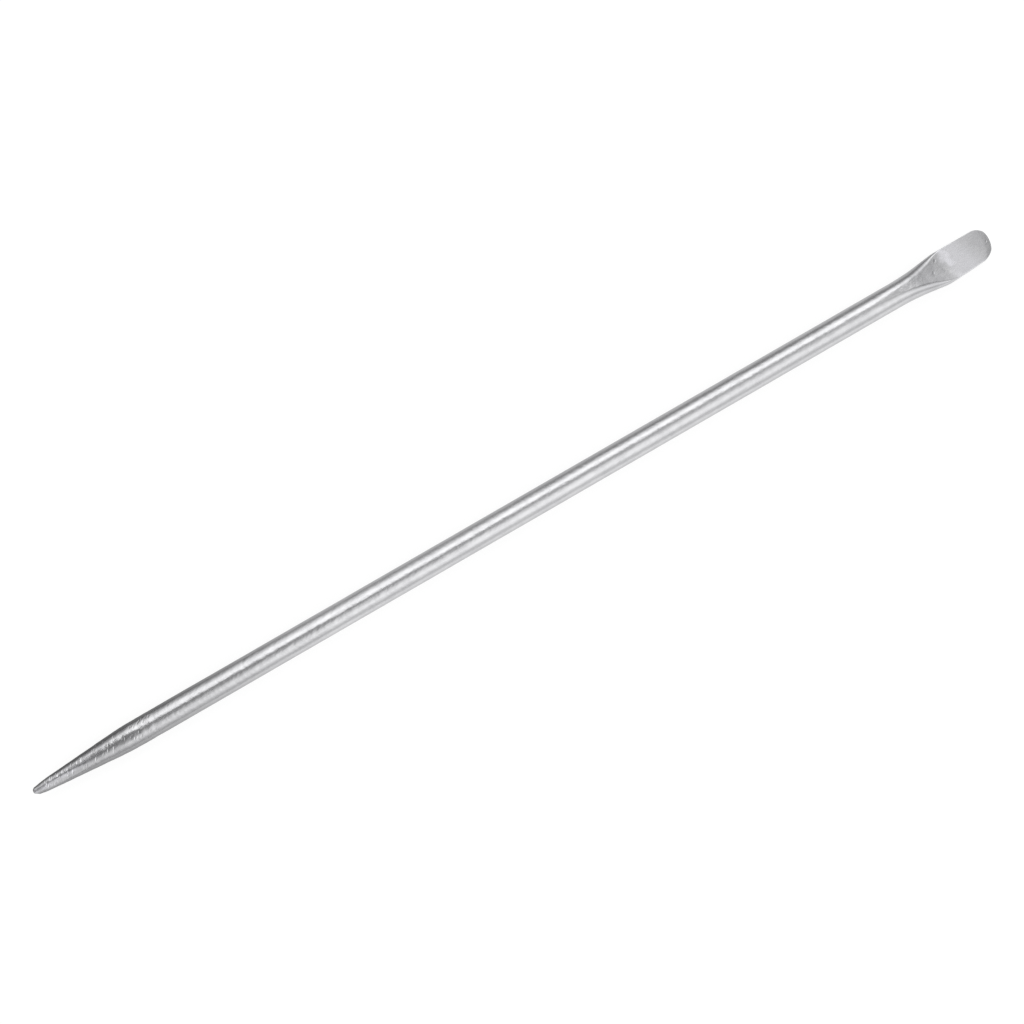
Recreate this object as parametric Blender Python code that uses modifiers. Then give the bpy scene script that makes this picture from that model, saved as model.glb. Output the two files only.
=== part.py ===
"""Alignment bar: one steel forging with a blunt tapered point at one end and a flat pry blade at the other.

The bar lies along X with the middle of its length at the origin and its round stock centred on the X axis.
The point is at -X and the blade at +X. The blade's two working faces look up and down, along +Z and -Z.
"""

import math
from collections import namedtuple

import bmesh
import bpy

# The bar as a whole, in metres
BAR_LENGTH = 0.9144
STOCK_DIAMETER = 0.0220
STOCK_SIDES = 22

# The point, measured from its blunt end
POINT_LENGTH = 0.0850
POINT_SHOULDER_REACH = 0.0122
POINT_END_FACE_DIAMETER = 0.0038
NOSE_LENGTH = 0.0030
NOSE_DIAMETER = 0.0066
NOSE_BEND = 0.0014
TAPER_START = 0.0120
TAPER_START_DIAMETER = 0.0097
TAPER_START_BEND = 0.0050

# The blade and its neck, measured from the blade's tip
BLADE_LENGTH = 0.0435
BLADE_ROOT_WIDTH = 0.0302
BLADE_TIP_WIDTH = 0.0276
BLADE_ROOT_THICKNESS = 0.0064
BLADE_TIP_THICKNESS = 0.0030
RAMP_LENGTH = 0.0405
RAMP_FOOT_REACH = 0.0050
RAMP_TOP_REACH = 0.0040
FLARE_SET_BACK = 0.0064
FLARE_LENGTH = 0.0305
FLARE_FOOT_REACH = 0.0030
FLARE_TOP_REACH = 0.0150
BLADE_SIDE_REACH = 0.0012
SIDE_OPENING_LENGTH = 0.0120
SIDE_OPENING_BEND = 0.0020

# The rounded tip of the blade
TIP_CROWN_RADIUS = 0.0205
TIP_CORNER_RADIUS = 0.0072
TIP_BEVEL_LENGTH = 0.0022
TIP_EDGE_THICKNESS = 0.0012
CROWN_FADE_LENGTH = 0.0300

# How finely each stretch is divided
NOSE_STEPS = 5
TAPER_START_STEPS = 4
TAPER_STEPS = 3
SHOULDER_STEPS = 6
STOCK_STEPS = 4
NECK_STEPS = 12
RAMP_FOOT_STEPS = 4
FACE_STEPS = 3
TIP_STEPS = 6

WELD_DISTANCE = 0.00001
SHARP_ANGLE = math.radians(35)

# The satin metal skin
SKIN_COLOUR = (0.60, 0.60, 0.62, 1.0)
SKIN_ROUGHNESS = 0.34
SKIN_METALLIC = 1.0

# Where two straight runs of an outline meet: how far along, how far out, and how far each way the bend reaches
Corner = namedtuple("Corner", "place height reach")

# The many-sided stock has the true diameter across its flats, so its corners stand a little further out
STOCK_CORNER_RADIUS = STOCK_DIAMETER / 2 / math.cos(math.pi / STOCK_SIDES)


def soft_ramp(distance, reach):
    """Zero before a corner and the distance past it afterwards, with a parabola through the bend."""
    if distance <= -reach:
        return 0.0
    if distance >= reach:
        return distance
    return (distance + reach) ** 2 / (4 * reach)


def rounded_run(corners, place):
    """The height at a place along straight runs that bend softly at each corner and end level."""
    slopes = [
        (after.height - before.height) / (after.place - before.place)
        for before, after in zip(corners, corners[1:])
    ]
    slopes.append(0.0)
    height = corners[0].height + slopes[0] * (place - corners[0].place)
    for corner, slope, next_slope in zip(corners[1:], slopes, slopes[1:]):
        height += (next_slope - slope) * soft_ramp(place - corner.place, corner.reach)
    return height


def spread(start, end, steps):
    """Evenly spaced places from the start up to, and not counting, the end."""
    return [start + (end - start) * step / steps for step in range(steps)]


def point_radius(from_point):
    """The radius of the point: a steep nose behind the blunt end, then a long taper out to the round stock."""
    corners = [
        Corner(0.0, POINT_END_FACE_DIAMETER / 2, 0.0),
        Corner(NOSE_LENGTH, NOSE_DIAMETER / 2, NOSE_BEND),
        Corner(TAPER_START, TAPER_START_DIAMETER / 2, TAPER_START_BEND),
        Corner(POINT_LENGTH, STOCK_CORNER_RADIUS, POINT_SHOULDER_REACH),
    ]
    return rounded_run(corners, from_point)


def face_height(from_tip):
    """Half the blade's thickness: a flat taper from the tip, then a ramp up to the round stock."""
    corners = [
        Corner(0.0, BLADE_TIP_THICKNESS / 2, 0.0),
        Corner(BLADE_LENGTH, BLADE_ROOT_THICKNESS / 2, RAMP_FOOT_REACH),
        Corner(BLADE_LENGTH + RAMP_LENGTH, STOCK_CORNER_RADIUS, RAMP_TOP_REACH),
    ]
    return rounded_run(corners, from_tip)


def side_distance(from_tip):
    """Half the blade's width without its rounded corners: a slight spread, then the flare back to the stock."""
    flare_foot = BLADE_LENGTH + FLARE_SET_BACK
    corners = [
        Corner(0.0, BLADE_TIP_WIDTH / 2, 0.0),
        Corner(flare_foot, BLADE_ROOT_WIDTH / 2, FLARE_FOOT_REACH),
        Corner(flare_foot + FLARE_LENGTH, STOCK_CORNER_RADIUS, FLARE_TOP_REACH),
    ]
    return rounded_run(corners, from_tip)


def side_reach(from_tip):
    """How far in from the side its rounding reaches: half-round on the stock and the neck, tight on the blade."""
    corners = [
        Corner(0.0, BLADE_SIDE_REACH, 0.0),
        Corner(BLADE_LENGTH, BLADE_SIDE_REACH, SIDE_OPENING_BEND),
        Corner(BLADE_LENGTH + SIDE_OPENING_LENGTH, STOCK_CORNER_RADIUS, SIDE_OPENING_BEND),
    ]
    return min(face_height(from_tip), rounded_run(corners, from_tip))


def neck_length():
    """How far behind the tip the forged end runs out into plain stock."""
    ramp_end = BLADE_LENGTH + RAMP_LENGTH + RAMP_TOP_REACH
    flare_end = BLADE_LENGTH + FLARE_SET_BACK + FLARE_LENGTH + FLARE_TOP_REACH
    return max(ramp_end, flare_end)


def half_width(ring):
    """Half the width of one ring of the blade, rounded in at the corners of the tip."""
    full = side_distance(ring)
    if ring >= TIP_CORNER_RADIUS:
        return full
    left = 1 - ring / TIP_CORNER_RADIUS
    return full - TIP_CORNER_RADIUS * (1 - math.sqrt(1 - left**2))


def crown_set_back(ring, across):
    """How far the crowned tip carries a point back towards the stock. It fades out along the blade."""
    fade = max(0.0, 1 - ring / CROWN_FADE_LENGTH)
    sagitta = TIP_CROWN_RADIUS - math.sqrt(TIP_CROWN_RADIUS**2 - across**2)
    return sagitta * fade**2 * (3 - 2 * fade)


def edge_share(ring):
    """The share of the blade's thickness that the bevel leaves on a ring near the tip."""
    if ring >= TIP_BEVEL_LENGTH:
        return 1.0
    edge = TIP_EDGE_THICKNESS / BLADE_TIP_THICKNESS
    return edge + (1 - edge) * ring / TIP_BEVEL_LENGTH


def forged_place(across, up, ring):
    """Where the forging moves a point of the round blank: across, up, and back from the tip.

    Every section of the forged end has two flat faces and two rounded sides. No section stands above the
    flats of the stock, so the bar lies on a table along its stock alone.
    """
    width = half_width(ring)
    new_across = width * across / STOCK_CORNER_RADIUS
    from_tip = ring + crown_set_back(ring, new_across)
    height = face_height(from_tip) * edge_share(ring)
    reach = min(side_reach(from_tip), width)
    past_flat = max(0.0, abs(new_across) - (width - reach))
    new_up = height * math.sqrt(max(0.0, 1 - (past_flat / reach) ** 2))
    return new_across, math.copysign(min(new_up, STOCK_DIAMETER / 2), up), from_tip


def blank_rings():
    """The rings of the round blank, from the blade's tip down to the point: height and radius of each."""
    top = BAR_LENGTH / 2
    neck = neck_length()
    foot_start = BLADE_LENGTH - RAMP_FOOT_REACH
    foot_end = BLADE_LENGTH + RAMP_FOOT_REACH
    corner_turns = spread(0.0, math.pi / 2, TIP_STEPS)
    from_tip = [TIP_CORNER_RADIUS * (1 - math.cos(turn)) for turn in corner_turns]
    from_tip += [TIP_BEVEL_LENGTH]
    from_tip += spread(TIP_CORNER_RADIUS, foot_start, FACE_STEPS)
    from_tip += spread(foot_start, foot_end, RAMP_FOOT_STEPS)
    from_tip += spread(foot_end, neck, NECK_STEPS)
    shoulder_start = POINT_LENGTH - POINT_SHOULDER_REACH
    shoulder_end = POINT_LENGTH + POINT_SHOULDER_REACH
    from_tip += spread(neck, BAR_LENGTH - shoulder_end, STOCK_STEPS)
    rings = [(top - place, STOCK_CORNER_RADIUS) for place in sorted(from_tip)]
    from_point = spread(shoulder_end, shoulder_start, SHOULDER_STEPS)
    from_point += spread(shoulder_start, TAPER_START + TAPER_START_BEND, TAPER_STEPS)
    from_point += spread(TAPER_START + TAPER_START_BEND, NOSE_LENGTH + NOSE_BEND, TAPER_START_STEPS)
    from_point += spread(NOSE_LENGTH + NOSE_BEND, 0.0, NOSE_STEPS)
    rings += [(place - top, point_radius(place)) for place in [*from_point, 0.0]]
    return rings


def turned_blank():
    """The round blank as an open tube about its own Z, made by turning its outline."""
    outline = bpy.data.meshes.new("blank_outline")
    points = [(radius, 0.0, height) for height, radius in blank_rings()]
    edges = [(index, index + 1) for index in range(len(points) - 1)]
    outline.from_pydata(points, edges, [])
    turning = bpy.data.objects.new("blank", outline)
    bpy.context.scene.collection.objects.link(turning)
    screw = turning.modifiers.new("turn", "SCREW")
    screw.steps = STOCK_SIDES
    screw.render_steps = STOCK_SIDES
    screw.use_merge_vertices = True
    screw.merge_threshold = WELD_DISTANCE
    bpy.context.view_layer.update()
    evaluated = turning.evaluated_get(bpy.context.evaluated_depsgraph_get())
    mesh = bpy.data.meshes.new_from_object(evaluated)
    bpy.data.objects.remove(turning, do_unlink=True)
    bpy.data.meshes.remove(outline)
    return mesh


def forge_blade(work):
    """Flattens the top end of the blank into the neck and the blade."""
    neck = neck_length()
    top = BAR_LENGTH / 2
    for vertex in work.verts:
        ring = max(0.0, top - vertex.co.z)
        if ring < neck:
            across, up, from_tip = forged_place(vertex.co.x, vertex.co.y, ring)
            vertex.co = (across, up, top - from_tip)


def end_loop(work, highest):
    """The corners of the open end at the top or bottom, in order round it."""
    open_edges = [edge for edge in work.edges if edge.is_boundary]
    wanted = [edge for edge in open_edges if (edge.verts[0].co.z > 0) == highest]
    corners = {vertex for edge in wanted for vertex in edge.verts}
    return sorted(corners, key=lambda vertex: math.atan2(vertex.co.y, vertex.co.x) % math.tau)


def close_tip(work):
    """Closes the blade's tip with a narrow strip that joins its upper edge to its lower edge."""
    loop = end_loop(work, highest=True)
    count = len(loop)
    for index in range(count // 2):
        upper = [loop[index], loop[index + 1]]
        lower = [loop[(count - index - 1) % count], loop[(count - index) % count]]
        ring = upper + [vertex for vertex in lower if vertex not in upper]
        work.faces.new(ring)


def close_point(work):
    """Closes the blunt end of the point with its flat round face."""
    loop = end_loop(work, highest=False)
    work.faces.new(list(reversed(loop)))


def skin_material():
    """The satin metal of the whole forging."""
    material = bpy.data.materials.new("satin_plated_steel")
    material.use_nodes = True
    shader = material.node_tree.nodes["Principled BSDF"]
    shader.inputs["Base Color"].default_value = SKIN_COLOUR
    shader.inputs["Roughness"].default_value = SKIN_ROUGHNESS
    shader.inputs["Metallic"].default_value = SKIN_METALLIC
    return material


def forged_bar(collection):
    """The whole bar, forged from one length of round stock."""
    mesh = turned_blank()
    mesh.name = "forged_bar"
    work = bmesh.new()
    work.from_mesh(mesh)
    forge_blade(work)
    close_tip(work)
    close_point(work)
    bmesh.ops.recalc_face_normals(work, faces=work.faces)
    work.to_mesh(mesh)
    work.free()
    mesh.shade_smooth()
    mesh.set_sharp_from_angle(angle=SHARP_ANGLE)
    mesh.materials.append(skin_material())
    bar = bpy.data.objects.new("forged_bar", mesh)
    # The blank's height runs along the bar, its X becomes the blade's width and its Y the blade's thickness
    bar.rotation_euler = (math.pi / 2, 0.0, math.pi / 2)
    collection.objects.link(bar)
    return bar


def main():
    """Builds the alignment bar in an empty scene."""
    for leftover in list(bpy.data.objects):
        bpy.data.objects.remove(leftover, do_unlink=True)
    collection = bpy.data.collections.new("alignment_bar")
    bpy.context.scene.collection.children.link(collection)
    forged_bar(collection)


main()
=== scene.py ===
"""Looks of the alignment bar: one plated steel forging on a pale table, seen as in its photograph.

The bar lies along X, with its blunt point at -X and its pry blade at +X, and the middle of its length
is at the origin. The blade's two working faces look up and down. Every size is in metres unless its
name says otherwise.
"""

import logging
import math
from dataclasses import dataclass
from enum import Enum
from typing import Any

import bmesh
import bpy
import numpy as np
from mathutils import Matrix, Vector


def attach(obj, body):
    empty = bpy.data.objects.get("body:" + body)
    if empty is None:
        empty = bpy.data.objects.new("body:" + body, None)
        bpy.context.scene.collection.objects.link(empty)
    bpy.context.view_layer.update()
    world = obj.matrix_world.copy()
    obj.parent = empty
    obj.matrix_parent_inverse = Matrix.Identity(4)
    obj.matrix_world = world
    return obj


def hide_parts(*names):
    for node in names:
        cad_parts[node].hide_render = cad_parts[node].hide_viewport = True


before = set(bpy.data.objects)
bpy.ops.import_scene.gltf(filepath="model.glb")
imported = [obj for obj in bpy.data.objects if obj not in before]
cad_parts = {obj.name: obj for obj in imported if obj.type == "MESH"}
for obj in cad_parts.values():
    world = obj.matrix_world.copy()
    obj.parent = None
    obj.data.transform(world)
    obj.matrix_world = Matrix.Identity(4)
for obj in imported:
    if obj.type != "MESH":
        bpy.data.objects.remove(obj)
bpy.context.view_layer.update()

LOG = logging.getLogger("alignment_bar")

# The level about which a noise wavers.
NOISE_MIDDLE = 0.5

# The least that a length is divided by.
LEAST_REACH = 1e-9
LEAST_RADIUS = 1e-6


# Outlines


@dataclass(frozen=True)
class Corner:
    """Where two straight runs of an outline meet: its place, its height and how far each way it bends."""

    place: float
    height: float
    reach: float


@dataclass(frozen=True)
class SoftRun:
    """Straight runs that bend softly at each corner and end level."""

    corners: tuple[Corner, ...]

    @staticmethod
    def bend(distance: np.ndarray, reach: float) -> np.ndarray:
        """Zero before a corner and the distance past it afterwards, with a parabola through the bend.

        Args:
            distance: How far past the corner each place is.
            reach: How far the bend reaches each way.

        Returns:
            The rise at each place for a change of slope of one.
        """
        if reach <= 0.0:
            return np.maximum(distance, 0.0)
        inside = np.clip(distance + reach, 0.0, 2 * reach)
        return np.where(distance >= reach, distance, inside**2 / (4 * reach))

    def at(self, places: np.ndarray) -> np.ndarray:
        """The outline's height at some places.

        Args:
            places: Distances along the outline.

        Returns:
            The height at each of them.
        """
        first = self.corners[0]
        pairs = zip(self.corners, self.corners[1:])
        slopes = [(after.height - before.height) / (after.place - before.place) for before, after in pairs]
        slopes.append(0.0)
        heights = first.height + slopes[0] * (places - first.place)
        for corner, slope, next_slope in zip(self.corners[1:], slopes, slopes[1:]):
            heights = heights + (next_slope - slope) * self.bend(places - corner.place, corner.reach)
        return heights


def smooth(value: np.ndarray, start: float, end: float) -> np.ndarray:
    """A soft step of a value, from 0 at its start to 1 at its end."""
    share = np.clip((value - start) / (end - start), 0.0, 1.0)
    return share * share * (3 - 2 * share)


# The bar's stretches


@dataclass(frozen=True)
class Ripple:
    """The slight unevenness of worked metal: a sum of smooth waves along the bar and around it.

    The waves are cut off where they would reach more than most_depths times their depth.
    """

    depth: float
    shortest: float
    longest: float
    most_round: int
    waves: int
    seed: int
    most_depths: float = 2.0

    def at(self, along: np.ndarray, turn: np.ndarray) -> np.ndarray:
        """How far the metal stands out or in.

        Args:
            along: Places along the bar.
            turn: Angles round the bar.

        Returns:
            The height at each point, about zero.
        """
        draw = np.random.default_rng(self.seed)
        total = np.zeros_like(along)
        for _ in range(self.waves):
            length = draw.uniform(self.shortest, self.longest)
            round_count = int(draw.integers(-self.most_round, self.most_round + 1))
            phase = draw.uniform(0.0, math.tau)
            total += np.sin(math.tau * along / length + round_count * turn + phase)
        return self.depth * total / math.sqrt(self.waves)

    def sunk(self, along: np.ndarray, turn: np.ndarray) -> np.ndarray:
        """How far the waves lie below the outline, which their highest crests just reach."""
        most = self.most_depths * self.depth
        return np.clip(self.at(along, turn) + most, 0.0, 2 * most)


@dataclass(frozen=True)
class RoundStock:
    """The plain round stock that both ends are forged from."""

    length: float = 0.9144
    diameter: float = 0.0220
    ripple: Ripple = Ripple(0.000018, shortest=0.030, longest=0.110, most_round=2, waves=9, seed=11)

    @property
    def radius(self) -> float:
        """Half the stock's diameter."""
        return self.diameter / 2


@dataclass(frozen=True)
class HammerMarks:
    """Short slanted blows left by the hammer that drew out the point."""

    count: int = 300
    first: float = 0.012
    last: float = 0.112
    shortest: float = 0.0016
    longest: float = 0.0030
    narrowest: float = 0.00045
    widest: float = 0.00085
    shallowest: float = 0.00009
    deepest: float = 0.00026
    slant: float = math.radians(-56)
    slant_spread: float = math.radians(14)
    seed: int = 5

    def depth_at(self, from_point: np.ndarray, turn: np.ndarray, radius: np.ndarray) -> np.ndarray:
        """How deep the blows go.

        Args:
            from_point: Distances from the blunt end.
            turn: Angles round the bar.
            radius: The point's radius at each place.

        Returns:
            The depth at each point, zero between the blows.
        """
        draw = np.random.default_rng(self.seed)
        depth = np.zeros_like(from_point)
        for _ in range(self.count):
            place = draw.uniform(self.first, self.last)
            angle = draw.uniform(0.0, math.tau)
            half_length = draw.uniform(self.shortest, self.longest)
            half_width = draw.uniform(self.narrowest, self.widest)
            deep = draw.uniform(self.shallowest, self.deepest)
            slant = self.slant + self.slant_spread * draw.uniform(-1.0, 1.0)
            near = np.abs(from_point - place) < self.longest
            along = from_point[near] - place
            across = radius[near] * (np.mod(turn[near] - angle + math.pi, math.tau) - math.pi)
            lengthwise = (along * math.cos(slant) + across * math.sin(slant)) / half_length
            crosswise = (across * math.cos(slant) - along * math.sin(slant)) / half_width
            inside = np.maximum(0.0, 1 - lengthwise**2 - crosswise**2)
            depth[near] = np.maximum(depth[near], deep * inside**2)
        return depth


@dataclass(frozen=True)
class Facet:
    """One broad, shallow blow that flattens the point: its place, its turn round the bar and its size."""

    from_point: float
    turn: float
    half_length: float
    half_width: float
    depth: float

    def depth_at(self, from_point: np.ndarray, turn: np.ndarray, radius: np.ndarray) -> np.ndarray:
        """How deep the blow goes.

        Args:
            from_point: Distances from the blunt end.
            turn: Angles round the bar.
            radius: The point's radius at each place.

        Returns:
            The depth at each point, zero outside the blow.
        """
        along = (from_point - self.from_point) / self.half_length
        across = radius * (np.mod(turn - self.turn + math.pi, math.tau) - math.pi) / self.half_width
        return self.depth * np.maximum(0.0, 1 - along**2 - across**2) ** 2


@dataclass(frozen=True)
class TaperedPoint:
    """The blunt tapered point, with its end knocked aslant and its skin left as hammered.

    Lengths run from the blunt end, and a bend or a reach goes that far each way.
    """

    stock: RoundStock
    length: float = 0.0850
    shoulder_reach: float = 0.0122
    end_radius: float = 0.0020
    nose_length: float = 0.0013
    nose_radius: float = 0.0034
    nose_bend: float = 0.0009
    plain_noses: int = 3
    taper_start: float = 0.0110
    taper_start_radius: float = 0.0051
    taper_start_bend: float = 0.0060
    cut_start: float = 0.0012
    cut_slope: float = 1.40
    cut_bend: float = 0.0005
    end_rings: tuple[float, ...] = (0.94, 0.8, 0.55, 0.28)
    marks: HammerMarks = HammerMarks()
    facets: tuple[Facet, ...] = (
        Facet(0.0890, math.radians(97), 0.0140, 0.0043, 0.00028),
        Facet(0.0260, math.radians(116), 0.0280, 0.0040, 0.00052),
        Facet(0.0720, math.radians(214), 0.0150, 0.0040, 0.00022),
        Facet(0.0640, math.radians(322), 0.0140, 0.0038, 0.00020),
    )
    ripple: Ripple = Ripple(0.000045, shortest=0.007, longest=0.026, most_round=4, waves=12, seed=23)

    @property
    def plain_length(self) -> float:
        """How far from the blunt end the hammered skin is fully there."""
        return self.nose_length * self.plain_noses

    def radius_at(self, from_point: np.ndarray) -> np.ndarray:
        """The radius of the point.

        Args:
            from_point: Distances from the blunt end.

        Returns:
            The radius at each of them.
        """
        corners = (
            Corner(0.0, self.end_radius, 0.0),
            Corner(self.nose_length, self.nose_radius, self.nose_bend),
            Corner(self.taper_start, self.taper_start_radius, self.taper_start_bend),
            Corner(self.length, self.stock.radius, self.shoulder_reach),
        )
        return SoftRun(corners).at(from_point)

    def set_back(self, across: np.ndarray, from_point: np.ndarray) -> np.ndarray:
        """How far the slanted cut across the -Y side of the blunt end carries a point back from the end."""
        cut = self.cut_slope * (-across - self.cut_start)
        return SoftRun.bend(cut - from_point, self.cut_bend)

    def worked(self, from_point: np.ndarray, turn: np.ndarray, radius: np.ndarray) -> np.ndarray:
        """How deep the hammer marks and the broad flats go together.

        Args:
            from_point: Distances from the blunt end.
            turn: Angles round the bar.
            radius: The point's radius at each place.

        Returns:
            The depth at each point.
        """
        depth = self.marks.depth_at(from_point, turn, radius)
        for facet in self.facets:
            depth = depth + facet.depth_at(from_point, turn, radius)
        return depth


@dataclass(frozen=True)
class Pit:
    """One small pit in the blade's upper face: where it is, and its size."""

    from_tip: float
    across: float
    radius: float
    depth: float


@dataclass(frozen=True)
class PryBlade:
    """The flat blade and the neck that runs from it into the round stock.

    Lengths run from the tip, and a bend or a reach goes that far each way.
    """

    stock: RoundStock
    length: float = 0.0435
    root_width: float = 0.0301
    tip_width: float = 0.0276
    root_thickness: float = 0.0064
    tip_thickness: float = 0.0028
    ramp_length: float = 0.0405
    ramp_foot_reach: float = 0.0042
    ramp_top_reach: float = 0.0090
    foot_bow: float = 0.0020
    foot_skew: float = 0.36
    flare_set_back: float = 0.0064
    flare_length: float = 0.0305
    flare_foot_reach: float = 0.0030
    flare_top_reach: float = 0.0150
    waist: float = 0.0180
    waist_thickness: float = 0.0047
    waist_reach: float = 0.0080
    side_reach: float = 0.0005
    shoulder_start: float = 0.0425
    shoulder: float = 0.0635
    shoulder_rounding: float = 0.0066
    flat_end: float = 0.1180
    side_bend: float = 0.0030
    crown_radius: float = 0.0205
    corner_radius: float = 0.0072
    crown_fade: float = 0.0300
    skew: float = 0.13
    lean: float = 0.0012
    lean_length: float = 0.0460
    lean_bend: float = 0.0060
    tip_gap: float = 0.00003
    bevel_length: float = 0.0050
    bevel_bend: float = 0.0026
    edge_share: float = 0.56
    edge_share_tilt: float = 0.24
    edge_round: float = 0.0004
    pits: tuple[Pit, ...] = (
        Pit(0.0510, 0.0084, 0.0010, 0.00024),
        Pit(0.0523, 0.0072, 0.0008, 0.00018),
        Pit(0.0036, 0.0012, 0.0008, 0.00018),
        Pit(0.0585, -0.0006, 0.0012, 0.00016),
    )
    ripple: Ripple = Ripple(0.000016, shortest=0.009, longest=0.030, most_round=3, waves=10, seed=37)

    @property
    def neck_length(self) -> float:
        """How far behind the tip the forged end runs out into plain stock.

        Returns:
            The longest of the ramp, the flare and the flattened sides.
        """
        ramp = self.length + self.ramp_length + self.ramp_top_reach
        flare = self.length + self.flare_set_back + self.flare_length + self.flare_top_reach
        return max(ramp, flare, self.flat_end + self.side_bend)

    def half_thickness(self, from_tip: np.ndarray) -> np.ndarray:
        """Half the thickness between the two working faces.

        Args:
            from_tip: Distances from the tip.

        Returns:
            Half the thickness at each of them.
        """
        corners = (
            Corner(0.0, self.tip_thickness / 2, 0.0),
            Corner(self.waist, self.waist_thickness / 2, self.waist_reach),
            Corner(self.length, self.root_thickness / 2, self.ramp_foot_reach),
            Corner(self.length + self.ramp_length, self.stock.radius, self.ramp_top_reach),
        )
        return SoftRun(corners).at(from_tip)

    def half_width(self, ring: np.ndarray) -> np.ndarray:
        """Half the width of the blade, rounded in at the corners of the tip.

        Args:
            ring: Distances of the rings from the tip, before they are crowned.

        Returns:
            Half the width of each ring.
        """
        flare_foot = self.length + self.flare_set_back
        corners = (
            Corner(0.0, self.tip_width / 2, 0.0),
            Corner(flare_foot, self.root_width / 2, self.flare_foot_reach),
            Corner(flare_foot + self.flare_length, self.stock.radius, self.flare_top_reach),
        )
        left = np.clip(1 - ring / self.corner_radius, 0.0, 1.0)
        return SoftRun(corners).at(ring) - self.corner_radius * (1 - np.sqrt(1 - left**2))

    def side_rounding(self, from_tip: np.ndarray, half_thickness: np.ndarray) -> np.ndarray:
        """How far in from the side its rounding reaches: half-round on the neck and tight on the blade.

        Args:
            from_tip: Distances from the tip.
            half_thickness: Half the thickness at each of them.

        Returns:
            The reach at each of them.
        """
        corners = (
            Corner(0.0, self.side_reach, 0.0),
            Corner(self.shoulder_start, self.side_reach, self.side_bend),
            Corner(self.shoulder, self.shoulder_rounding, self.side_bend),
            Corner(self.flat_end, self.stock.radius, self.side_bend),
        )
        return np.minimum(half_thickness, SoftRun(corners).at(from_tip))

    def bevel(self, ring: np.ndarray, across: np.ndarray) -> np.ndarray:
        """The share of the thickness that the bevelled and rounded edge leaves near the tip.

        Args:
            ring: Distances of the rings from the tip, before they are crowned.
            across: Places across the blade. The bevel is deeper towards +Y.

        Returns:
            The share at each point.
        """
        corners = (
            Corner(0.0, 0.0, 0.0),
            Corner(self.bevel_length, 1.0, self.bevel_bend),
        )
        edge = self.edge_share - self.edge_share_tilt * across / (self.tip_width / 2)
        left = np.clip(1 - ring / self.edge_round, 0.0, 1.0)
        return (edge + (1 - edge) * SoftRun(corners).at(ring)) * np.sqrt(1 - left**2)

    def tip_set_back(self, ring: np.ndarray, across: np.ndarray) -> np.ndarray:
        """How far the crowned, slightly skewed tip carries a point back towards the stock.

        Args:
            ring: Distances of the rings from the tip, before they are crowned.
            across: Places across the blade.

        Returns:
            The shift of each point towards the stock.
        """
        fade = 1 - smooth(ring, 0.0, self.crown_fade)
        crown = self.crown_radius - np.sqrt(self.crown_radius**2 - across**2)
        skewed = self.skew * (self.skew * self.crown_radius / 2 - across)
        return (crown + skewed) * fade + self.tip_gap

    def lean_at(self, ring: np.ndarray) -> np.ndarray:
        """How far the blade, which is ground slightly askew, stands off the bar's middle line.

        Args:
            ring: Distances of the rings from the tip, before they are crowned.

        Returns:
            The shift of each ring towards +Y.
        """
        corners = (
            Corner(0.0, self.lean, 0.0),
            Corner(self.lean_length, 0.0, self.lean_bend),
        )
        return SoftRun(corners).at(ring)

    def pit_depth(self, from_tip: np.ndarray, across: np.ndarray, up: np.ndarray) -> np.ndarray:
        """How deep the pits go.

        Args:
            from_tip: Distances from the tip.
            across: Places across the blade.
            up: Places up.

        Returns:
            The depth at each point, zero on the lower face.
        """
        depth = np.zeros_like(across)
        for pit in self.pits:
            away = np.hypot(from_tip - pit.from_tip, across - pit.across) / pit.radius
            depth += pit.depth * np.maximum(0.0, 1 - away**2) ** 2
        return np.where(up > 0.0, depth, 0.0)

    def place(self, ring: np.ndarray, turn: np.ndarray) -> tuple[np.ndarray, np.ndarray, np.ndarray]:
        """Where each point of the forged end lies.

        Args:
            ring: Distances of the rings from the tip, before they are crowned.
            turn: Angles round the bar, from +Y towards +Z.

        Returns:
            The place across, the place up, and the distance back from the tip.
        """
        width = self.half_width(ring)
        across = width * np.cos(turn)
        from_tip = ring + self.tip_set_back(ring, across)
        middle = 1 - (across / (self.root_width / 2)) ** 2
        bow = self.foot_bow * middle + self.foot_skew * across
        bowed = from_tip - bow * smooth(from_tip, 0.0, self.length)
        height = self.half_thickness(bowed) * self.bevel(ring, across)
        reach = np.minimum(self.side_rounding(from_tip, height), width)
        past = np.maximum(0.0, np.abs(across) - (width - reach)) / np.maximum(reach, LEAST_REACH)
        up = np.sign(np.sin(turn)) * height * np.sqrt(np.maximum(0.0, 1 - past**2))
        up = np.clip(up, -self.stock.radius, self.stock.radius)
        return across + self.lean_at(ring), up, from_tip


# Shader maths


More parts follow.
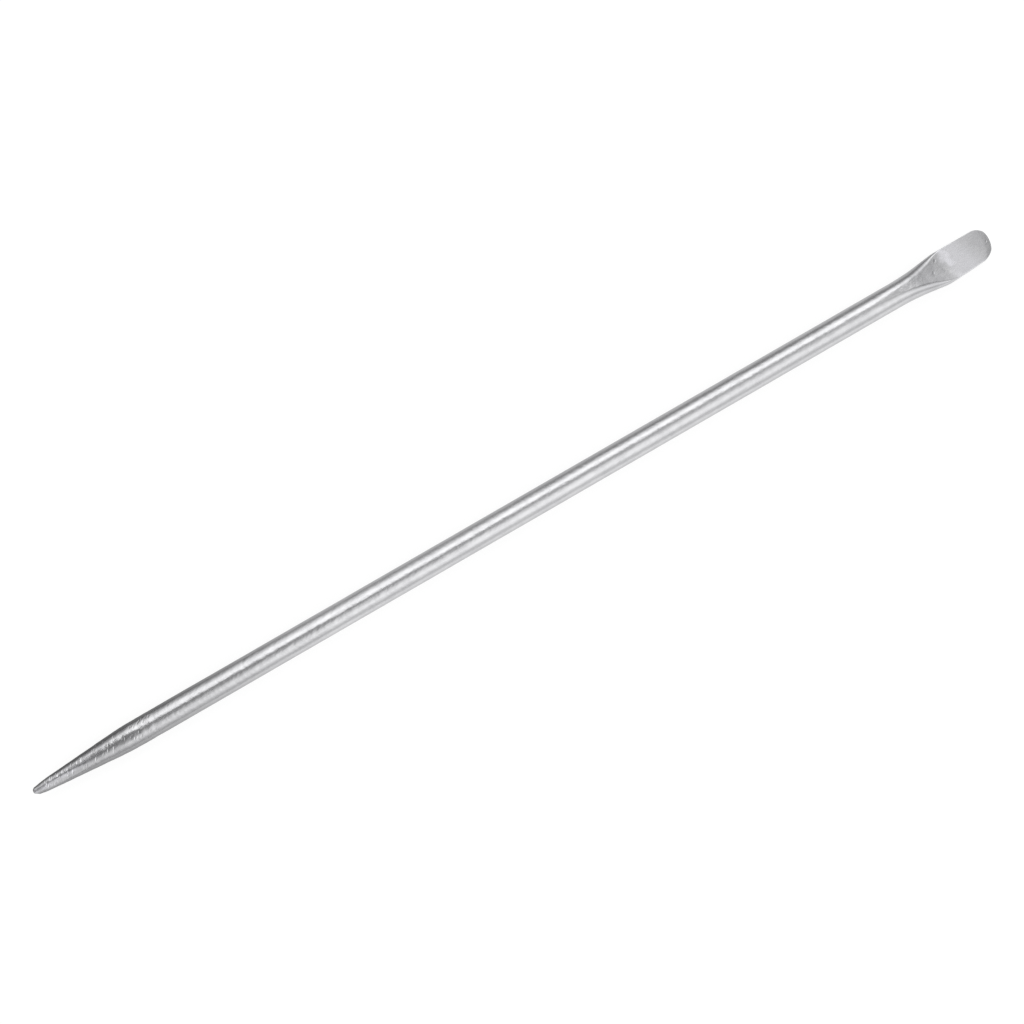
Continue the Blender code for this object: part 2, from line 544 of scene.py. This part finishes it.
class Link:
    """A node's output in a shader expression. Each sum or product adds its own Math node."""

    def __init__(self, tree: "Tree", socket: bpy.types.NodeSocket) -> None:
        """Wraps a socket of a tree."""
        self.tree = tree
        self.socket = socket

    def __add__(self, other: "Value") -> "Link":
        """This plus other."""
        return self.tree.maths("ADD", self, other)

    def __sub__(self, other: "Value") -> "Link":
        """This minus other."""
        return self.tree.maths("SUBTRACT", self, other)

    def __rsub__(self, other: "Value") -> "Link":
        """Other minus this."""
        return self.tree.maths("SUBTRACT", other, self)

    def __mul__(self, other: "Value") -> "Link":
        """This times other."""
        return self.tree.maths("MULTIPLY", self, other)

    __radd__ = __add__
    __rmul__ = __mul__

    def larger(self, other: "Value") -> "Link":
        """The larger of this and other."""
        return self.tree.maths("MAXIMUM", self, other)

    def size(self) -> "Link":
        """This without its sign."""
        return self.tree.maths("ABSOLUTE", self)

    def axis(self, name: str) -> "Link":
        """The part of this vector along X, Y or Z."""
        return self.tree.node("ShaderNodeSeparateXYZ", None, {0: self}, name)


Value = Link | float | tuple


class Tree:
    """The nodes of one material or world."""

    def __init__(self, owner: bpy.types.Material | bpy.types.World) -> None:
        """Starts an empty tree.

        Args:
            owner: The material or the world that the nodes are for.
        """
        owner.use_nodes = True
        self.nodes = owner.node_tree.nodes
        self.links = owner.node_tree.links
        self.nodes.clear()

    def node(
        self,
        kind: str,
        settings: dict[str, Any] | None = None,
        sockets: dict[str | int, Value] | None = None,
        output: str | int = 0,
    ) -> Link:
        """Adds any node.

        Args:
            kind: The node's type, such as ShaderNodeMath.
            settings: Its settings, made before its sockets are filled. A ramp's stops are a list of pairs.
            sockets: The value or link of each named or numbered input.
            output: The name or number of the output to return.

        Returns:
            The output asked for, or the first input of a node that has no outputs.
        """
        made = self.nodes.new(kind)
        for name, setting in (settings or {}).items():
            if name == "stops":
                self.set_stops(made.color_ramp, setting)
            else:
                setattr(made, name, setting)
        for name, value in (sockets or {}).items():
            if isinstance(value, Link):
                self.links.new(value.socket, made.inputs[name])
            else:
                made.inputs[name].default_value = value
        return Link(self, made.outputs[output]) if made.outputs else Link(self, made.inputs[0])

    @staticmethod
    def set_stops(ramp: bpy.types.ColorRamp, stops: list[tuple[float, float]]) -> None:
        """Gives a ramp its grey levels.

        Args:
            ramp: The ramp of a node.
            stops: The place and the level of each stop, in order.
        """
        while len(ramp.elements) < len(stops):
            ramp.elements.new(1.0)
        for element, (place, level) in zip(ramp.elements, stops):
            element.position = place
            element.color = (level, level, level, 1.0)

    def maths(self, operation: str, first: Value, second: Value = 0.0) -> Link:
        """Adds a Math node, whose second value is left at zero where it has none."""
        return self.node("ShaderNodeMath", {"operation": operation}, {0: first, 1: second})

    def mix(self, share: Value, first: Value, second: Value) -> Link:
        """Mixes two colours, by the share of the second one that shows."""
        settings = {"data_type": "RGBA", "clamp_factor": True}
        return self.node("ShaderNodeMix", settings, {"Factor": share, "A": first, "B": second}, "Result")


@dataclass(frozen=True)
class Step:
    """A soft step of a value: still low at its start, and high from its end on."""

    start: float
    end: float
    low: float = 0.0
    high: float = 1.0

    def of(self, value: Link) -> Link:
        """The step of a value.

        Args:
            value: What is tested.

        Returns:
            The result, from low to high.
        """
        ends = {"From Min": self.start, "From Max": self.end, "To Min": self.low, "To Max": self.high}
        settings = {"interpolation_type": "SMOOTHSTEP"}
        return value.tree.node("ShaderNodeMapRange", settings, {"Value": value, **ends})


class Grain(Enum):
    """How a noise is stretched: shares of its scale along the bar and across it."""

    EVEN = (1.0, 1.0)
    DRAWN = (0.012, 1.0)
    BRUSHED = (0.12, 1.0)
    ROLLED = (0.85, 1.0)


@dataclass(frozen=True)
class Noise:
    """Cloudy noise: its blotches in a metre, its finer layers, how strong they are, and its grain."""

    scale: float
    detail: float
    rough: float = 0.5
    grain: Grain = Grain.EVEN

    def over(self, place: Link) -> Link:
        """The noise over a surface.

        Args:
            place: The object's coordinates.

        Returns:
            The noise, mostly between 0.3 and 0.7.
        """
        where = place
        if self.grain is not Grain.EVEN:
            along, across = self.grain.value
            stretch = {0: place, 1: (along, across, across)}
            where = place.tree.node("ShaderNodeVectorMath", {"operation": "MULTIPLY"}, stretch)
        sockets = {"Vector": where, "Scale": self.scale, "Detail": self.detail, "Roughness": self.rough}
        return place.tree.node("ShaderNodeTexNoise", None, sockets)


# The finish


@dataclass(frozen=True)
class Surface:
    """The masks of the bar's stretches and the noises of its skin. The crust is the scale on the point."""

    place: Link
    along: Link
    on_point: Link
    on_blade: Link
    on_stock: Link
    drawn: Link
    brushed: Link
    cloud: Link
    speckle: Link
    crust: Link
    waves: Link


@dataclass(frozen=True)
class BrightPlaces:
    """Painted highlights on the ramp's foot and the blade's face, and a worn bright strip on the blunt end.

    Places and steps are on the bar's own axes, apart from the patches, which are a step of a noise.
    """

    # The bright crescent at the foot of the ramp is a painted highlight.
    fold_place: float = 0.4194
    fold_curve: float = 14.0
    fold_skew: float = 0.22
    fold_ragged: float = 0.022
    fold_reach: float = 0.0055
    fold_fade: Step = Step(-0.0100, 0.0010)
    fold_highlight: float = 0.88
    # The blade's face is painted brighter as a painted reflection, fading out towards the tip.
    face_start: Step = Step(0.4100, 0.4200)
    face_reflection: Step = Step(0.4280, 0.4460, 0.45, 0.0)
    face_skew: float = 0.40
    end: Step = Step(-0.388, -0.425)
    end_middle: float = -0.0007
    end_strip: Step = Step(0.0030, 0.0)
    end_patches: Step = Step(0.32, 0.50)
    end_polish: float = 0.85

    def crescent(self, skin: Surface) -> Link:
        """The painted highlight: a ragged bright crescent at the foot of the ramp.

        Args:
            skin: The bar's masks and noises.

        Returns:
            How far the painted highlight lies on each point, from 0 to 1.
        """
        across = skin.place.axis("Y")
        bow = across * across * self.fold_curve + across * self.fold_skew
        ragged = (skin.cloud - NOISE_MIDDLE) * self.fold_ragged
        from_fold = skin.along + bow + ragged - self.fold_place
        rise = Step(-self.fold_reach, 0.0).of(from_fold)
        fall = Step(0.0, self.fold_reach, 1.0, 0.0).of(from_fold)
        # Painted highlight: the crescent's brightness is painted into the colour.
        return rise * fall * self.fold_fade.of(across) * self.fold_highlight

    def face(self, skin: Surface) -> Link:
        """How far the face of the blade is painted brighter as a painted reflection: lightly, and not near
        the tip.
        """
        near_tip = skin.along + skin.place.axis("Y") * self.face_skew
        return self.face_reflection.of(near_tip) * self.face_start.of(skin.along)

    def blunt_end(self, skin: Surface) -> Link:
        """The worn strip on top of the blunt end, which fine noise breaks into patches.

        Args:
            skin: The bar's masks and noises.

        Returns:
            How far each point is worn bright, from 0 to 1.
        """
        off_middle = (skin.place.axis("Y") - self.end_middle).size()
        worn = self.end.of(skin.along) * self.end_strip.of(off_middle)
        return worn * self.end_patches.of(skin.crust) * self.end_polish

    def highlights_and_polish(self, skin: Surface) -> Link:
        """How far each point of the bar carries a painted highlight or is worn bright, from 0 to 1."""
        return self.crescent(skin).larger(self.face(skin)).larger(self.blunt_end(skin))


@dataclass(frozen=True)
class PlatedSteel:
    """Satin plating over forged steel: drawn on the stock, mottled on the blade, rough on the point.

    The steps for the stretches, the ramp's painted shade and the end are of the place along the bar, and
    the steps of the duller blotches are of a noise. A relief is the height in metres for a noise of one.
    """

    name: str = "satin_plated_steel"
    colour: tuple[float, float, float] = (0.620, 0.620, 0.632)
    # The colour of the duller blotches, and of the painted shade on the ramp.
    dull_and_shade_colour: tuple[float, float, float] = (0.520, 0.520, 0.535)
    # The colour of the painted highlights, and of the worn bright blunt end.
    highlight_and_polish_colour: tuple[float, float, float] = (0.858, 0.855, 0.896)
    bright: BrightPlaces = BrightPlaces()
    on_point: Step = Step(-0.352, -0.372)
    on_blade: Step = Step(0.362, 0.395)
    drawn: Noise = Noise(2600.0, 3.0, grain=Grain.DRAWN)
    brushed: Noise = Noise(900.0, 3.0, grain=Grain.BRUSHED)
    cloud: Noise = Noise(90.0, 3.0, 0.55)
    speckle: Noise = Noise(900.0, 3.0, 0.6)
    crust: Noise = Noise(420.0, 4.0, 0.6)
    waves: Noise = Noise(270.0, 2.0, grain=Grain.ROLLED)
    cloud_dull: Step = Step(0.35, 0.75, 0.0, 0.5)
    point_dull: Step = Step(0.5, 0.7, 0.0, 0.45)
    blade_dull: Step = Step(0.44, 0.62, 0.0, 0.22)
    # The ramp's painted shade: where it lies along the bar and how strong it is.
    ramp_start: Step = Step(0.3660, 0.3740)
    ramp_end: Step = Step(0.3960, 0.4050, 1.0, 0.0)
    ramp_shade: float = 0.50
    stock_roughness: float = 0.25
    point_roughness: float = 0.22
    blade_roughness: float = 0.27
    end_roughness: Step = Step(-0.425, -0.447, 0.0, 0.12)
    cloud_roughness: float = 0.10
    drawn_roughness: float = 0.16
    speckle_roughness: float = 0.08
    crust_roughness: float = 0.24
    drawn_relief: float = 0.000010
    stock_wave_relief: float = 0.000210
    brushed_relief: float = 0.000005
    speckle_relief: float = 0.000004
    blade_wave_relief: float = 0.000084
    crust_relief: float = 0.000130

    def surface(self, tree: Tree) -> Surface:
        """Lays the masks and the noises over the bar.

        Args:
            tree: The material's nodes.

        Returns:
            The masks and the noises.
        """
        place = tree.node("ShaderNodeTexCoord", output="Object")
        along = place.axis("X")
        on_point = self.on_point.of(along)
        on_blade = self.on_blade.of(along)
        return Surface(
            place=place,
            along=along,
            on_point=on_point,
            on_blade=on_blade,
            on_stock=1 - on_point.larger(on_blade),
            drawn=self.drawn.over(place),
            brushed=self.brushed.over(place),
            cloud=self.cloud.over(place),
            speckle=self.speckle.over(place),
            crust=self.crust.over(place),
            waves=self.waves.over(place),
        )

    def skin_colour(self, tree: Tree, skin: Surface, highlight_and_polish_share: Link) -> Link:
        """The colour: the plating, its duller blotches, the painted shade on the ramp, and the painted
        highlights and worn bright steel on top.

        Args:
            tree: The material's nodes.
            skin: The bar's masks and noises.
            highlight_and_polish_share: How far each point carries a painted highlight or is worn bright,
                from 0 to 1.

        Returns:
            The colour.
        """
        dull_and_shade = self.cloud_dull.of(skin.cloud)
        dull_and_shade = dull_and_shade + skin.on_point * self.point_dull.of(skin.crust)
        dull_and_shade = dull_and_shade + skin.on_blade * self.blade_dull.of(skin.cloud)
        # Painted shade: the ramp is darkened towards the duller colour.
        ramp = self.ramp_start.of(skin.along) * self.ramp_end.of(skin.along)
        dull_and_shade = (dull_and_shade + ramp * self.ramp_shade) * (1 - highlight_and_polish_share)
        plating = tree.mix(dull_and_shade, (*self.colour, 1.0), (*self.dull_and_shade_colour, 1.0))
        # Painted highlights on the ramp's foot and the blade's face, and the worn bright blunt end.
        return tree.mix(highlight_and_polish_share, plating, (*self.highlight_and_polish_colour, 1.0))

    def roughness(self, skin: Surface) -> Link:
        """The roughness of each stretch, with the unevenness of its noises.

        Args:
            skin: The bar's masks and noises.

        Returns:
            The roughness.
        """
        rough = self.stock_roughness * skin.on_stock
        rough = rough + self.point_roughness * skin.on_point
        rough = rough + self.blade_roughness * skin.on_blade
        rough = rough + self.end_roughness.of(skin.along)
        rough = rough + self.cloud_roughness * (skin.cloud - NOISE_MIDDLE)
        rough = rough + skin.on_stock * (skin.drawn - NOISE_MIDDLE) * self.drawn_roughness
        rough = rough + skin.on_blade * (skin.speckle - NOISE_MIDDLE) * self.speckle_roughness
        return rough + skin.on_point * (skin.crust - NOISE_MIDDLE) * self.crust_roughness

    def relief(self, skin: Surface, highlight_and_polish_share: Link) -> Link:
        """The relief that is too fine for the mesh, in metres.

        Args:
            skin: The bar's masks and noises.
            highlight_and_polish_share: How far each point carries a painted highlight or is worn bright,
                from 0 to 1.

        Returns:
            The height.
        """
        waves = skin.waves - NOISE_MIDDLE
        height = skin.on_stock * (skin.drawn - NOISE_MIDDLE) * self.drawn_relief
        height = height + skin.on_stock * waves * self.stock_wave_relief
        on_blade = (skin.brushed - NOISE_MIDDLE) * self.brushed_relief
        on_blade = on_blade + (skin.speckle - NOISE_MIDDLE) * self.speckle_relief
        on_blade = on_blade + waves * self.blade_wave_relief
        height = height + skin.on_blade * (1 - highlight_and_polish_share) * on_blade
        return height + skin.on_point * (skin.crust - NOISE_MIDDLE) * self.crust_relief

    def material(self) -> bpy.types.Material:
        """Builds the finish.

        Returns:
            The material.
        """
        material = bpy.data.materials.new(self.name)
        tree = Tree(material)
        skin = self.surface(tree)
        # The share of painted highlight and of worn bright steel at each point.
        highlight_and_polish_share = self.bright.highlights_and_polish(skin)
        relief = {"Strength": 1.0, "Distance": 1.0, "Height": self.relief(skin, highlight_and_polish_share)}
        sockets = {
            "Base Color": self.skin_colour(tree, skin, highlight_and_polish_share),
            "Metallic": 1.0,
            "Roughness": self.roughness(skin),
            "Normal": tree.node("ShaderNodeBump", None, relief),
        }
        steel = tree.node("ShaderNodeBsdfPrincipled", None, sockets)
        tree.node("ShaderNodeOutputMaterial", None, {"Surface": steel})
        return material


# The bar


@dataclass(frozen=True)
class ForgedBar:
    """The whole bar as one fine mesh: round stock with its point and its blade forged from it."""

    name: str = "steel_bar"
    stock: RoundStock = RoundStock()
    point: TaperedPoint = TaperedPoint(RoundStock())
    blade: PryBlade = PryBlade(RoundStock())
    finish: PlatedSteel = PlatedSteel()
    columns: int = 144
    tip_rings: int = 30
    blade_spacing: float = 0.00045
    stock_spacing: float = 0.0040
    point_spacing: float = 0.00032
    nose_spacing: float = 0.00025
    nose_span: float = 0.0120
    point_span: float = 0.1150
    ripple_fade: float = 0.0200
    weld_distance: float = 0.000002
    sliver_size: float = 0.000001

    @staticmethod
    def spaced(start: float, end: float, spacing: float) -> np.ndarray:
        """Evenly spaced places from start up to, and not counting, end."""
        count = max(1, math.ceil(abs(end - start) / spacing))
        return np.linspace(start, end, count, endpoint=False)

    def rings(self) -> np.ndarray:
        """The places of the rings of points.

        Returns:
            The distance of each ring from the blade's tip, from the tip to the blunt end.
        """
        turns = np.linspace(0.0, math.pi / 2, self.tip_rings, endpoint=False)
        corner = self.blade.corner_radius
        length = self.stock.length
        parts = [
            corner * (1 - np.cos(turns)),
            self.spaced(corner, self.blade.neck_length, self.blade_spacing),
            self.spaced(self.blade.neck_length, length - self.point_span, self.stock_spacing),
            self.spaced(length - self.point_span, length - self.nose_span, self.point_spacing),
            self.spaced(length - self.nose_span, length, self.nose_spacing),
            np.array([length]),
        ]
        return np.concatenate(parts)

    def points(self) -> np.ndarray:
        """The places of all points.

        Returns:
            An array of rings by columns by three.
        """
        turns = np.linspace(0.0, math.tau, self.columns, endpoint=False)
        ring, turn = np.meshgrid(self.rings(), turns, indexing="ij")
        half = self.stock.length / 2
        from_point = self.stock.length - ring
        across, up, from_tip = self.blade.place(ring, turn)
        radius = self.point.radius_at(from_point)
        forged = ring < self.blade.neck_length
        across = np.where(forged, across, radius * np.cos(turn))
        up = np.where(forged, up, radius * np.sin(turn))
        along = half - np.where(forged, from_tip, ring)
        along = along + np.where(forged, 0.0, self.point.set_back(across, from_point))

        inward = self.sunk(ring, turn, radius, across, up, from_tip)
        thinned = self.stock.radius - self.blade.half_thickness(from_tip)
        flat = smooth(thinned, 0.0, self.stock.radius / 2) * forged > 0.5
        shrink = 1 - inward / np.maximum(np.hypot(across, up), LEAST_RADIUS)
        lowered = up - np.sign(up) * np.minimum(inward, np.abs(up))
        across = np.where(flat, across, across * shrink)
        up = np.where(flat, lowered, up * shrink)
        return np.stack([along, across, up], axis=-1)

    def sunk(
        self,
        ring: np.ndarray,
        turn: np.ndarray,
        radius: np.ndarray,
        across: np.ndarray,
        up: np.ndarray,
        from_tip: np.ndarray,
    ) -> np.ndarray:
        """How far each point lies below the plain outline, from unevenness, hammer marks and pits.

        Args:
            ring: Distances of the rings from the tip.
            turn: Angles round the bar.
            radius: The point's radius at each place.
            across: Places across the bar.
            up: Places up.
            from_tip: Distances from the blade's tip, crowned.

        Returns:
            The depth at each point, never negative.
        """
        from_point = self.stock.length - ring
        last_mark = self.point.marks.last
        neck = self.blade.neck_length
        on_point = 1 - smooth(from_point, last_mark, last_mark + self.ripple_fade)
        on_point = on_point * smooth(from_point, 0.0, self.point.plain_length)
        on_blade = 1 - smooth(from_tip, neck - self.ripple_fade, neck)
        on_blade = on_blade * smooth(ring, 0.0, self.blade.bevel_length)
        on_stock = (1 - on_point) * (1 - on_blade) * smooth(from_point, 0.0, self.ripple_fade)
        on_stock = on_stock * smooth(ring, 0.0, self.ripple_fade)
        total = on_point * self.point.ripple.sunk(ring, turn)
        total += on_blade * self.blade.ripple.sunk(ring, turn)
        total += on_stock * self.stock.ripple.sunk(ring, turn)
        total += on_point * self.point.worked(from_point, turn, radius)
        total += self.blade.pit_depth(from_tip, across, up)
        return total

    def closed_end(self, last: np.ndarray) -> np.ndarray:
        """The shrinking rings inside the last ring that close the blunt end, down to its centre."""
        centre = last.mean(axis=0)
        return np.stack([centre + (last - centre) * share for share in (*self.point.end_rings, 0.0)])

    def build(self) -> bpy.types.Object:
        """Builds the bar's mesh and dresses it.

        Returns:
            The bar.
        """
        grid = self.points()
        grid = np.concatenate([grid, self.closed_end(grid[-1])])
        count, columns, _ = grid.shape
        start = np.arange(count - 1)[:, None] * columns
        here = np.arange(columns)[None, :]
        after = (here + 1) % columns
        corners = [start + here, start + after, start + columns + after, start + columns + here]
        faces = np.stack(corners, axis=-1)
        mesh = bpy.data.meshes.new(self.name)
        mesh.from_pydata(grid.reshape(-1, 3).tolist(), [], faces.reshape(-1, 4).tolist())
        self.weld(mesh)
        mesh.shade_smooth()
        mesh.materials.append(self.finish.material())
        bar = bpy.data.objects.new(self.name, mesh)
        bpy.context.scene.collection.objects.link(bar)
        return bar

    def weld(self, mesh: bpy.types.Mesh) -> None:
        """Joins the points that meet at the tip's edge and in the blunt end, and turns the faces out.

        Args:
            mesh: The bar's mesh, which is changed.
        """
        work = bmesh.new()
        work.from_mesh(mesh)
        bmesh.ops.remove_doubles(work, verts=work.verts, dist=self.weld_distance)
        bmesh.ops.dissolve_degenerate(work, edges=work.edges, dist=self.sliver_size)
        bmesh.ops.recalc_face_normals(work, faces=work.faces)
        open_edges = sum(1 for edge in work.edges if not edge.is_manifold)
        LOG.info("%s: %d faces, %d open edges", self.name, len(work.faces), open_edges)
        work.to_mesh(mesh)
        work.free()


# The studio


@dataclass(frozen=True)
class Panel:
    """A long soft panel of light that runs along the bar and fades out at both of its long edges.

    The angles are in degrees, seen from the bar, from straight up towards -Y.
    """

    fade_in: float
    full_from: float
    full_to: float
    fade_out: float
    level: float

    def over(self, angle: Link, room: Link) -> Link:
        """Lays the panel over the light that is already there.

        Args:
            angle: The angle of the direction that is looked in.
            room: The level without the panel.

        Returns:
            The level with the panel.
        """
        rise = Step(self.fade_in, self.full_from).of(angle)
        share = rise * Step(self.full_to, self.fade_out, 1.0, 0.0).of(angle)
        return room * (1 - share) + share * self.level


@dataclass(frozen=True)
class Room:
    """The studio's light: two long panels over the bar, and the walls and the ceiling around them.

    The pairs give a level, or a share of the level, for each reach along the bar: -1 looks along the bar
    beyond its point, 0 straight across it and 1 beyond its blade. Steps of an angle are in degrees from
    straight up towards -Y, and the other steps are of the reach.
    """

    name: str = "studio_room"
    far_wall: float = 0.40
    near_wall: float = 0.86
    wall: Step = Step(20.0, 60.0)
    far_panel: Panel = Panel(-98.0, -33.0, -21.5, -9.5, 1.72)
    near_panel: Panel = Panel(-12.0, 44.0, 50.0, 83.0, 1.55)
    far_panel_shift: Step = Step(-0.25, -0.34, 0.0, 32.0)
    near_panel_shift: Step = Step(-0.10, -0.23, 0.0, 9.0)
    point_corner: Step = Step(-44.0, -76.0)
    point_corner_shade: Step = Step(-0.05, -0.34, 0.0, 0.66)
    blade_corner: Step = Step(-36.0, -78.0)
    blade_corner_low: Step = Step(-78.0, -104.0, 1.0, 0.65)
    blade_corner_shade: Step = Step(0.00, 0.14, 0.0, 0.58)
    ceiling: tuple[tuple[float, float], ...] = (
        (-0.41, 0.38),
        (-0.30, 0.34),
        (-0.20, 0.27),
        (-0.06, 0.26),
        (0.01, 0.50),
        (0.19, 0.48),
        (0.33, 0.70),
        (0.39, 0.79),
        (0.44, 0.78),
        (0.53, 0.66),
        (0.60, 0.60),
        (0.66, 0.53),
        (0.72, 0.60),
        (0.80, 0.66),
    )
    near_dimming: tuple[tuple[float, float], ...] = (
        (-0.41, 0.49),
        (-0.14, 0.70),
        (-0.06, 0.88),
        (0.01, 1.00),
        (0.15, 0.93),
        (0.30, 0.82),
    )
    far_side: Step = Step(18.0, 5.0)
    far_dimming: tuple[tuple[float, float], ...] = (
        (-0.41, 0.72),
        (-0.14, 0.95),
        (-0.06, 1.00),
        (0.33, 1.00),
        (0.60, 0.84),
        (0.72, 0.34),
        (0.80, 0.22),
    )

    @staticmethod
    def along_bar(along: Link, pairs: tuple[tuple[float, float], ...]) -> Link:
        """A level that changes along the bar. A ramp runs from 0 to 1, and the reach from -1 to 1."""
        stops = [(reach / 2 + 0.5, level) for reach, level in pairs]
        return along.tree.node("ShaderNodeValToRGB", {"stops": stops}, {"Fac": along * 0.5 + 0.5})

    def lit(self, along: Link, angle: Link) -> Link:
        """The walls and the ceiling with the two panels over them.

        Args:
            along: The reach along the bar.
            angle: The angle of the direction that is looked in.

        Returns:
            The level.
        """
        near_wall = self.wall.of(angle)
        far_wall = Step(self.far_panel.full_to, self.far_panel.fade_in).of(angle)
        room = self.along_bar(along, self.ceiling) * (1 - near_wall) * (1 - far_wall)
        room = room + near_wall * self.near_wall + far_wall * self.far_wall
        near = self.near_panel.over(angle - self.near_panel_shift.of(along), room)
        near = near * self.along_bar(along, self.near_dimming)
        beside = Step(self.near_panel.fade_in, self.wall.start).of(angle)
        room = room * (1 - beside) + near * beside
        lit = self.far_panel.over(angle + self.far_panel_shift.of(along), room)
        return lit * (1 - self.far_side.of(angle) * (1 - self.along_bar(along, self.far_dimming)))

    def unshaded(self, along: Link, angle: Link) -> Link:
        """The share of the level that the two dark low corners on the far side leave.

        Args:
            along: The reach along the bar.
            angle: The angle of the direction that is looked in.

        Returns:
            The share.
        """
        point = self.point_corner.of(angle) * self.point_corner_shade.of(along)
        blade = self.blade_corner.of(angle) * self.blade_corner_low.of(angle)
        return 1 - point - blade * self.blade_corner_shade.of(along)

    def build(self) -> bpy.types.World:
        """Sets up the world, which the camera sees as plain white.

        Returns:
            The world.
        """
        world = bpy.data.worlds.new(self.name)
        bpy.context.scene.world = world
        tree = Tree(world)
        direction = tree.node("ShaderNodeTexCoord", output="Generated")
        along = direction.axis("X")
        radians = tree.maths("ARCTAN2", 0.0 - direction.axis("Y"), direction.axis("Z"))
        angle = radians * math.degrees(1.0)
        room = self.lit(along, angle) * self.unshaded(along, angle)
        seen = tree.node("ShaderNodeLightPath", output="Is Camera Ray")
        sockets = {"Color": room * (1 - seen) + seen, "Strength": 1.0}
        background = tree.node("ShaderNodeBackground", None, sockets)
        tree.node("ShaderNodeOutputWorld", None, {"Surface": background})
        return world


@dataclass(frozen=True)
class WhiteCard:
    """White card whose brightness is partly its own in the camera, and wholly its own in the steel.

    The steel sees its glow as painted light and shade: darker beyond the bar and towards the point, and
    brightest close by on the near side.
    """

    name: str = "white_card"
    colour: float = 0.80
    roughness: float = 0.9
    glow_share: float = 0.70
    glow: float = 1.215
    near_side: Step = Step(0.008, -0.008)
    near_level: float = 0.90
    near_lift: float = 0.30
    lift_start: Step = Step(-0.020, -0.045)
    lift_end: Step = Step(-0.045, -0.120, 1.0, 0.0)
    beyond: Step = Step(0.02, 0.11, 0.70, 0.45)
    blade_lift: Step = Step(0.02, 0.22, 1.0, 1.10)
    by_point: Step = Step(-0.17, -0.42)
    beyond_shade: float = 0.74
    near_shade: float = 0.50

    def in_steel(self, place: Link) -> Link:
        """The painted light and shade that the steel sees in the card, by the distance from the bar and the
        place along it.

        Args:
            place: The card's coordinates.

        Returns:
            The level.
        """
        along = place.axis("X")
        across = place.axis("Y")
        shade = self.by_point.of(along)
        beyond = self.beyond.of(across) * self.blade_lift.of(along) * (1 - shade * self.beyond_shade)
        lift = self.lift_start.of(across) * self.lift_end.of(across)
        near = (lift * self.near_lift + self.near_level) * (1 - shade * self.near_shade)
        near_side = self.near_side.of(across)
        return beyond * (1 - near_side) + near * near_side

    def material(self) -> bpy.types.Material:
        """Builds the finish.

        Returns:
            The material.
        """
        material = bpy.data.materials.new(self.name)
        tree = Tree(material)
        camera = tree.node("ShaderNodeLightPath", output="Is Camera Ray")
        glossy = tree.node("ShaderNodeLightPath", output="Is Glossy Ray")
        place = tree.node("ShaderNodeTexCoord", output="Object")
        white = {
            "Base Color": (self.colour, self.colour, self.colour, 1.0),
            "Roughness": self.roughness,
            "Specular IOR Level": 0.0,
        }
        card = tree.node("ShaderNodeBsdfPrincipled", None, white)
        # In the steel the card shows painted light and shade.
        level = camera * self.glow + glossy * self.in_steel(place)
        glow = tree.node("ShaderNodeEmission", None, {"Color": level, "Strength": 1.0})
        share = camera * self.glow_share + glossy
        both = tree.node("ShaderNodeMixShader", None, {0: share, 1: card, 2: glow})
        tree.node("ShaderNodeOutputMaterial", None, {"Surface": both})
        return material


@dataclass(frozen=True)
class Table:
    """The white table that the bar lies on. It keeps the bar's soft shadow, and glows with painted light
    and shade in the steel.
    """

    name: str = "table_floor"
    top: float = -0.0110
    size: float = 12.0
    finish: WhiteCard = WhiteCard()

    def build(self) -> bpy.types.Object:
        """Lays the table.

        Returns:
            The table.
        """
        half = self.size / 2
        sides = ((-half, -half), (half, -half), (half, half), (-half, half))
        mesh = bpy.data.meshes.new(self.name)
        mesh.from_pydata([(*side, self.top) for side in sides], [], [(0, 1, 2, 3)])
        mesh.materials.append(self.finish.material())
        table = bpy.data.objects.new(self.name, mesh)
        bpy.context.scene.collection.objects.link(table)
        return table


@dataclass(frozen=True)
class PhotoCamera:
    """The camera where the photograph was taken from: almost straight above the bar."""

    name: str = "photo_camera"
    azimuth_degrees: float = -120.25
    elevation_degrees: float = 81.58
    distance: float = 1.4102
    target: tuple[float, float, float] = (-0.00913, 0.00318, 0.0)
    focal_length_mm: float = 60.0

    def build(self) -> bpy.types.Object:
        """Places the camera and makes it the scene's own.

        Returns:
            The camera.
        """
        azimuth = math.radians(self.azimuth_degrees)
        elevation = math.radians(self.elevation_degrees)
        level = math.cos(elevation)
        back = Vector((level * math.cos(azimuth), level * math.sin(azimuth), math.sin(elevation)))
        lens = bpy.data.cameras.new(self.name)
        lens.lens = self.focal_length_mm
        camera = bpy.data.objects.new(self.name, lens)
        camera.location = Vector(self.target) + back * self.distance
        camera.rotation_euler = (-back).to_track_quat("-Z", "Y").to_euler()
        bpy.context.scene.collection.objects.link(camera)
        bpy.context.scene.camera = camera
        return camera


def main() -> None:
    """Builds the bar and its studio."""
    logging.basicConfig(level=logging.INFO, format="%(name)s: %(message)s")
    bpy.context.scene.view_settings.view_transform = "Standard"
    bar = ForgedBar().build()
    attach(bar, "root")
    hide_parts("forged_bar")
    LOG.info("%s: stands for forged_bar", bar.name)
    for fitting in (Room(), Table(), PhotoCamera()):
        LOG.info("%s: in place", fitting.build().name)


if __name__ == "__main__":
    main()
